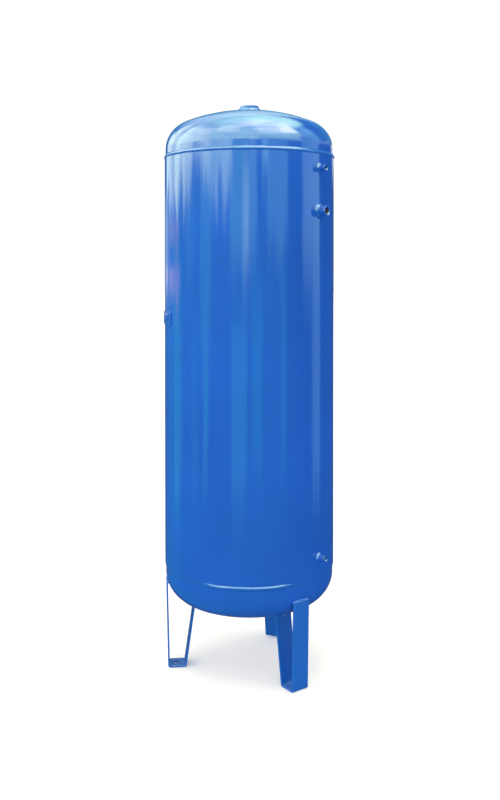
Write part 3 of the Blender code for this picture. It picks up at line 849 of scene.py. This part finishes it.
def build_data_plate():
    place = Matrix.Translation((0, 0, PLATE_HEIGHT)) @ Matrix.Rotation(PLATE_AZIMUTH, 4, "Z")
    points = curved_sheet(BRACKET_SIZE, BRACKET_INSIDE, BRACKET_CORNER, BRACKET_EDGE)
    piece("data_plate_carrier", points, socket_enamel, "data_plate_bracket",
          wrap=(False, True), place=place)
    points = curved_sheet(PLATE_SIZE, PLATE_INSIDE, PLATE_CORNER, PLATE_EDGE, PLATE_BOW)
    piece("data_plate_blank", points, plate_enamel, "data_plate", wrap=(False, True),
          place=place)

    shank = 0.45 * SCREW_HEAD
    profile = [(0.0004, -SCREW_SHANK), (shank, -SCREW_SHANK), (shank, 0.0), (SCREW_HEAD, 0.0)]
    profile += [(SCREW_HEAD * math.cos(a), SCREW_RIM + SCREW_HEAD_HEIGHT * math.sin(a))
                for a in np.linspace(0.0, 1.42, 10)]
    screw = turned(profile, 40).transpose(1, 0, 2)
    corners = [(side, level) for side in (-1, 1) for level in (-1, 1)]
    for number, (side, level) in enumerate(corners, start=1):
        turn = PLATE_AZIMUTH + side * SCREW_SPREAD[0] / 2 / PLATE_OUTSIDE
        height = PLATE_HEIGHT + level * SCREW_SPREAD[1] / 2
        name = "data_plate_screw_%d" % number
        piece(name + "_head", screw, screw_enamel, name, wrap=(False, True),
              smooth=TURNED_SHARP,
              place=standing_out(PLATE_OUTSIDE, turn, height))


# ---------------------------------------------------------------- studio

FLOOR_DARK = (0.925, 0.890, 0.80, 1)
FLOOR_LIGHT = (0.945, 0.910, 0.82, 1)
FLOOR_BOUNCE = (0.60, 0.59, 0.56, 1)  # what the floor throws back on the tank
FLOOR_GLOW = 0.17
FLOOR_RADIUS = 40.0


def build_floor():
    """A plain pale floor that blends into the background far away."""
    material, tree, shader = start_material("studio_floor")
    place = node(tree, "TexCoord").outputs["Object"]
    tone = blend(tree, speckle(tree, place, 1.3, 3.0), FLOOR_DARK, FLOOR_LIGHT)
    seen = node(tree, "LightPath").outputs["Is Camera Ray"]
    connect(tree, shader, colour=blend(tree, seen, FLOOR_BOUNCE, tone))
    shader.inputs["Roughness"].default_value = 0.9
    shader.inputs["Specular IOR Level"].default_value = 0.1
    shader.inputs["Emission Color"].default_value = (1, 1, 1, 1)
    shader.inputs["Emission Strength"].default_value = FLOOR_GLOW
    rings = [(radius, 0.0) for radius in (0.05, 0.5, 2.0, 9.0, FLOOR_RADIUS)]
    points = turned(rings, 96).transpose(1, 0, 2)
    floor = piece("floor", points, material, wrap=(False, True), caps=1)
    if floor.data.polygons[0].normal.z < 0:
        floor.data.flip_normals()
    floor.location.z = -0.0004
    floor.visible_glossy = False


# What the gloss mirrors: broad openings and soft strips round the studio. Azimuths are in degrees
# to the right of the camera's side, and a later strip covers an earlier one. Each row: azimuth,
# half width, foot, head, side softness, foot softness, radiance
STRIPS = (
    (-84.0, 10.0, -1.5, 7.5, 6.0, 2.0, (0.2, 1.2, 1.5)),
    (-60.0, 9.0, -5.0, 9.0, 2.0, 4.0, (0.30, 1.7, 1.4)),
    (-104.0, 17.0, 4.2, 27.0, 2.0, 1.3, (4.5, 5.9, 3.8)),
    (-135.0, 13.0, 3.6, 23.0, 4.0, 0.8, (2.6, 3.2, 2.4)),
    (-150.0, 9.0, -2.5, 4.2, 6.0, 1.0, (0.6, 0.9, 1.0)),
    (-112.0, 9.0, -14.5, 1.0, 3.0, 2.0, (0.12, 1.15, 0.9)),
    (-60.0, 3.6, -14.0, 1.0, 0.8, 2.0, (0.25, 1.9, 1.4)),
    (-78.0, 6.0, -15.0, -3.0, 1.0, 1.5, (0.10, 0.95, 0.9)),
    (10.0, 6.5, -12.0, -1.2, 0.8, 1.2, (0.12, 1.5, 1.3)),
    (46.0, 3.5, -13.0, -1.0, 0.8, 2.0, (0.12, 1.4, 1.4)),
    (-13.0, 10.0, -15.0, -3.5, 0.8, 1.5, (0.25, 1.8, 1.6)),
    (-14.0, 11.0, 0.0, 9.0, 2.0, 1.6, (0.8, 2.8, 1.9)),
    (-43.0, 20.5, 5.1, 27.0, 1.5, 0.7, (4.6, 7.1, 5.4)),
    (-47.0, 5.0, 4.0, 14.0, 2.5, 0.6, (3.6, 6.0, 4.2)),
    (4.0, 5.5, 1.4, 9.0, 1.5, 1.3, (0.95, 2.8, 2.5)),
    (-4.5, 3.6, -1.4, 6.2, 1.0, 0.6, (3.1, 5.5, 3.9)),
    (38.0, 14.5, 0.9, 10.0, 1.5, 1.6, (0.9, 2.4, 2.2)),
    (21.0, 4.0, 5.6, 11.0, 1.5, 0.7, (2.2, 4.9, 3.9)),
    (101.0, 8.0, -14.0, 3.0, 2.0, 2.0, (0.5, 1.1, 1.4)),
    (91.0, 16.0, -0.5, 24.0, 2.0, 3.5, (1.1, 2.15, 2.35)),
    (162.0, 13.0, 6.1, 9.0, 4.0, 0.8, (1.6, 1.7, 1.4)),
    (-127.0, 24.0, 1.6, 2.6, 3.0, 0.2, (1.2, 1.15, 1.2)),
    (-129.0, 25.0, -1.6, -0.4, 3.0, 0.3, (1.7, 1.35, 1.55)),
    (-130.0, 10.0, 9.0, 44.0, 5.0, 3.0, (4.0, 4.9, 3.0)),
    (-84.0, 30.0, 7.5, 50.0, 6.0, 3.0, (8.3, 10.4, 6.4)),
    (-24.0, 36.0, 11.0, 64.0, 8.0, 3.0, (5.6, 8.8, 5.0)),
    (-36.0, 20.0, 38.0, 66.0, 7.0, 5.0, (10.0, 12.6, 7.2)),
    (66.0, 13.0, 36.0, 53.0, 5.0, 5.0, (17.0, 17.5, 11.0)),
)
HEAD_SOFTNESS = 0.2               # of a strip's upper end, as a share of its height
JAGS = 1.6                        # how ragged the strips' feet are, in degrees

# Below the sky: low and high in front, then the right-hand side and behind the camera's back
SHADE_LOW = (0.04, 0.38, 0.60, 1)
SHADE_HIGH = (0.08, 0.62, 1.00, 1)
SHADE_RIGHT = (0.02, 0.10, 0.45, 1)
SHADE_BEHIND = (0.06, 0.10, 0.18, 1)
# The wall to the right, between two azimuths and two heights, hides the sky behind it
WALL_NEAR = (1.5, 3.3, 3.4, 1)
WALL_FAR = (0.10, 0.40, 0.7, 1)
# The sky's radiance by how far it is from its brightest point, in degrees
SKY = ((107, (0.05, 0.20, 0.30)), (90, (0.15, 0.4, 0.4)), (83, (0.95, 1.4, 1.3)),
       (76, (1.4, 2.0, 1.7)), (66, (2.2, 3.1, 2.4)), (52, (2.9, 4.6, 2.6)),
       (46, (3.7, 6.7, 3.6)), (39, (4.8, 8.0, 4.6)), (32, (6.6, 9.7, 6.0)),
       (26, (9.0, 11.8, 8.0)), (18, (11.0, 13.2, 9.4)), (0, (10.8, 13.2, 9.4)))
SKY_BRIGHTEST = (38.0, 64.0)      # its azimuth and elevation
RADIANCE_RANGE = 16.0             # a colour ramp holds 0 to 1, so its colours are scaled
KEY_FROM = (-55.0, 25.0)          # where the soft light is strongest: azimuth and elevation
KEY_RANGE = (1.08, 1.76)          # its radiance away from there and there
BACKDROP = (1.1, 1.1, 1.1, 1)


def pointing(azimuth, elevation):
    """The unit vector of a direction in the studio, given in degrees."""
    turn, lift = math.radians(azimuth), math.radians(elevation)
    return (math.cos(lift) * math.cos(turn), math.cos(lift) * math.sin(turn), math.sin(lift))


def build_sky(tree, direction):
    """The open sky as a smooth ramp of brightness round its brightest point."""
    towards = node(tree, "VectorMath", {0: direction, 1: pointing(*SKY_BRIGHTEST)},
                   operation="DOT_PRODUCT").outputs["Value"]
    furthest = math.cos(math.radians(SKY[0][0]))
    place = node(tree, "MapRange", {"Value": towards, "From Min": furthest, "From Max": 1.0})
    colours = node(tree, "ValToRGB", {0: place.outputs["Result"]})
    stops = colours.color_ramp.elements
    for _ in SKY[2:]:
        stops.new(0.5)
    for stop, (away, colour) in zip(stops, SKY):
        stop.position = (math.cos(math.radians(away)) - furthest) / (1.0 - furthest)
        stop.color = tuple(c / RADIANCE_RANGE for c in colour) + (1,)
    return node(tree, "VectorMath", {0: colours.outputs[0], "Scale": RADIANCE_RANGE},
                operation="SCALE").outputs[0]


def build_shade(tree, around, rise):
    """The dim surroundings under the sky."""
    shade = blend(tree, ramp(tree, rise, -16.0, 0.0), SHADE_LOW, SHADE_HIGH)
    shade = blend(tree, ramp(tree, around, 25.0, 80.0), shade, SHADE_RIGHT)
    backwards = math_node(tree, "ABSOLUTE", around)
    return blend(tree, ramp(tree, backwards, 120.0, 165.0), shade, SHADE_BEHIND)


def add_wall(tree, around, rise, total):
    share = product(tree, ramp(tree, around, 77.0, 84.0), ramp(tree, rise, 44.0, 54.0, 1.0, 0.0),
                    ramp(tree, around, 158.0, 180.0, 1.0, 0.0), ramp(tree, rise, 9.0, 16.0))
    tone = blend(tree, ramp(tree, around, 100.0, 122.0), WALL_NEAR, WALL_FAR)
    return blend(tree, share, total, tone)


def add_strips(tree, around, rise, total):
    jags = node(tree, "TexNoise", {"W": around, "Scale": 0.11, "Detail": 3.0},
                noise_dimensions="1D").outputs[0]
    rise_jagged = math_node(tree, "ADD", rise, ramp(tree, jags, 0.3, 0.7, -JAGS, JAGS))
    for azimuth, half, foot, head, soft_side, soft_foot, colour in STRIPS:
        off = math_node(tree, "ABSOLUTE", math_node(tree, "SUBTRACT", around, azimuth))
        within = ramp(tree, off, half - soft_side, half + soft_side, 1.0, 0.0)
        above = ramp(tree, rise_jagged, foot - soft_foot, foot + soft_foot)
        soft_head = HEAD_SOFTNESS * abs(head)
        below = ramp(tree, rise, head - soft_head, head + soft_head, 1.0, 0.0)
        total = blend(tree, product(tree, within, above, below), total, colour + (1,))
    return total


def add_clouds(tree, direction, rise, total):
    wisps = speckle(tree, direction, 3.2, 4.0, stretch=(1.0, 1.0, 3.5), roughness=0.55)
    clouds = ramp(tree, wisps, 0.35, 0.62, 0.88, 1.16)
    clouds = ramp(tree, rise, 12.0, 30.0, 1.0, clouds)
    return node(tree, "VectorMath", {0: total, "Scale": clouds}, operation="SCALE").outputs[0]


def soft_light(tree, direction):
    """A broad even light, stronger from KEY_FROM, for everything that isn't a mirror image."""
    towards = node(tree, "VectorMath", {0: direction, 1: pointing(*KEY_FROM)},
                   operation="DOT_PRODUCT")
    soft = ramp(tree, towards.outputs["Value"], -0.2, 1.0, *KEY_RANGE)
    return node(tree, "CombineXYZ", {0: soft, 1: soft, 2: soft}).outputs[0]


def build_world():
    world = bpy.data.worlds.new("studio")
    bpy.context.scene.world = world
    world.use_nodes = True
    world.cycles.sampling_method = "NONE"
    tree = world.node_tree
    tree.nodes.clear()
    direction = node(tree, "TexCoord").outputs["Generated"]
    direction = node(tree, "VectorRotate", {"Vector": direction, "Axis": (0, 0, 1),
                                            "Angle": math.pi / 2 - VIEW_AZIMUTH},
                     rotation_type="AXIS_ANGLE").outputs[0]
    parts = node(tree, "SeparateXYZ", {0: direction}).outputs
    around = math_node(tree, "DEGREES", math_node(tree, "ARCTAN2", parts["Y"], parts["X"]))
    rise = math_node(tree, "DEGREES", math_node(tree, "ARCSINE", parts["Z"]))

    total = blend(tree, ramp(tree, rise, 7.0, 14.0), build_shade(tree, around, rise),
                  build_sky(tree, direction))
    total = add_wall(tree, around, rise, total)
    total = add_strips(tree, around, rise, total)
    total = add_clouds(tree, direction, rise, total)

    path = node(tree, "LightPath").outputs
    seen = blend(tree, path["Is Glossy Ray"], soft_light(tree, direction), total)
    seen = blend(tree, path["Is Camera Ray"], seen, BACKDROP)
    background = node(tree, "Background", {"Color": seen, "Strength": 1.0})
    output = node(tree, "OutputWorld", {"Surface": background.outputs[0]})
    output.is_active_output = True


def build_camera():
    data = bpy.data.cameras.new("camera")
    data.sensor_width = SENSOR_WIDTH
    data.lens = CAMERA_LENS
    data.shift_y = CAMERA_SHIFT
    camera = bpy.data.objects.new("camera", data)
    bpy.context.scene.collection.objects.link(camera)
    away = Vector((math.sin(VIEW_AZIMUTH), -math.cos(VIEW_AZIMUTH), 0.0))
    right = Vector((math.cos(VIEW_AZIMUTH), math.sin(VIEW_AZIMUTH), 0.0))
    camera.location = CAMERA_DISTANCE * away + CAMERA_ASIDE * right
    camera.location.z = CAMERA_HEIGHT
    camera.rotation_euler = (math.pi / 2 - CAMERA_PITCH, 0.0, VIEW_AZIMUTH)
    bpy.context.scene.camera = camera


def build():
    build_shell()
    build_shell_seam()
    top, drain = SOCKET_SIZES["two_inch"], SOCKET_SIZES["half"]
    build_head("top_head", TOP_TANGENT, 1, top["outer"] + GAP, 21)
    build_head("bottom_head", BOTTOM_TANGENT, -1, drain["outer"] + GAP, 33)
    build_girth_weld("top_girth_weld", SHELL_TOP, 1, 1, TOP_FLUSH)
    build_girth_weld("bottom_girth_weld", SHELL_BOTTOM, -1, 2, BOTTOM_FLUSH, BOTTOM_STOP)
    for name, (size_name, azimuth, height) in WALL_SOCKETS.items():
        build_socket(name, SOCKET_SIZES[size_name], shell_surface, socket_place(azimuth, height))
    build_socket("top_socket", top, dish_surface, Matrix.Translation((0, 0, TOP_APEX)))
    build_socket("drain_socket", drain, dish_surface,
                 Matrix.Translation((0, 0, BOTTOM_APEX)) @ Matrix.Rotation(math.pi, 4, "X"))
    build_legs()
    build_data_plate()
    build_floor()
    build_world()
    build_camera()
    bpy.context.scene.view_settings.view_transform = "Standard"


build()
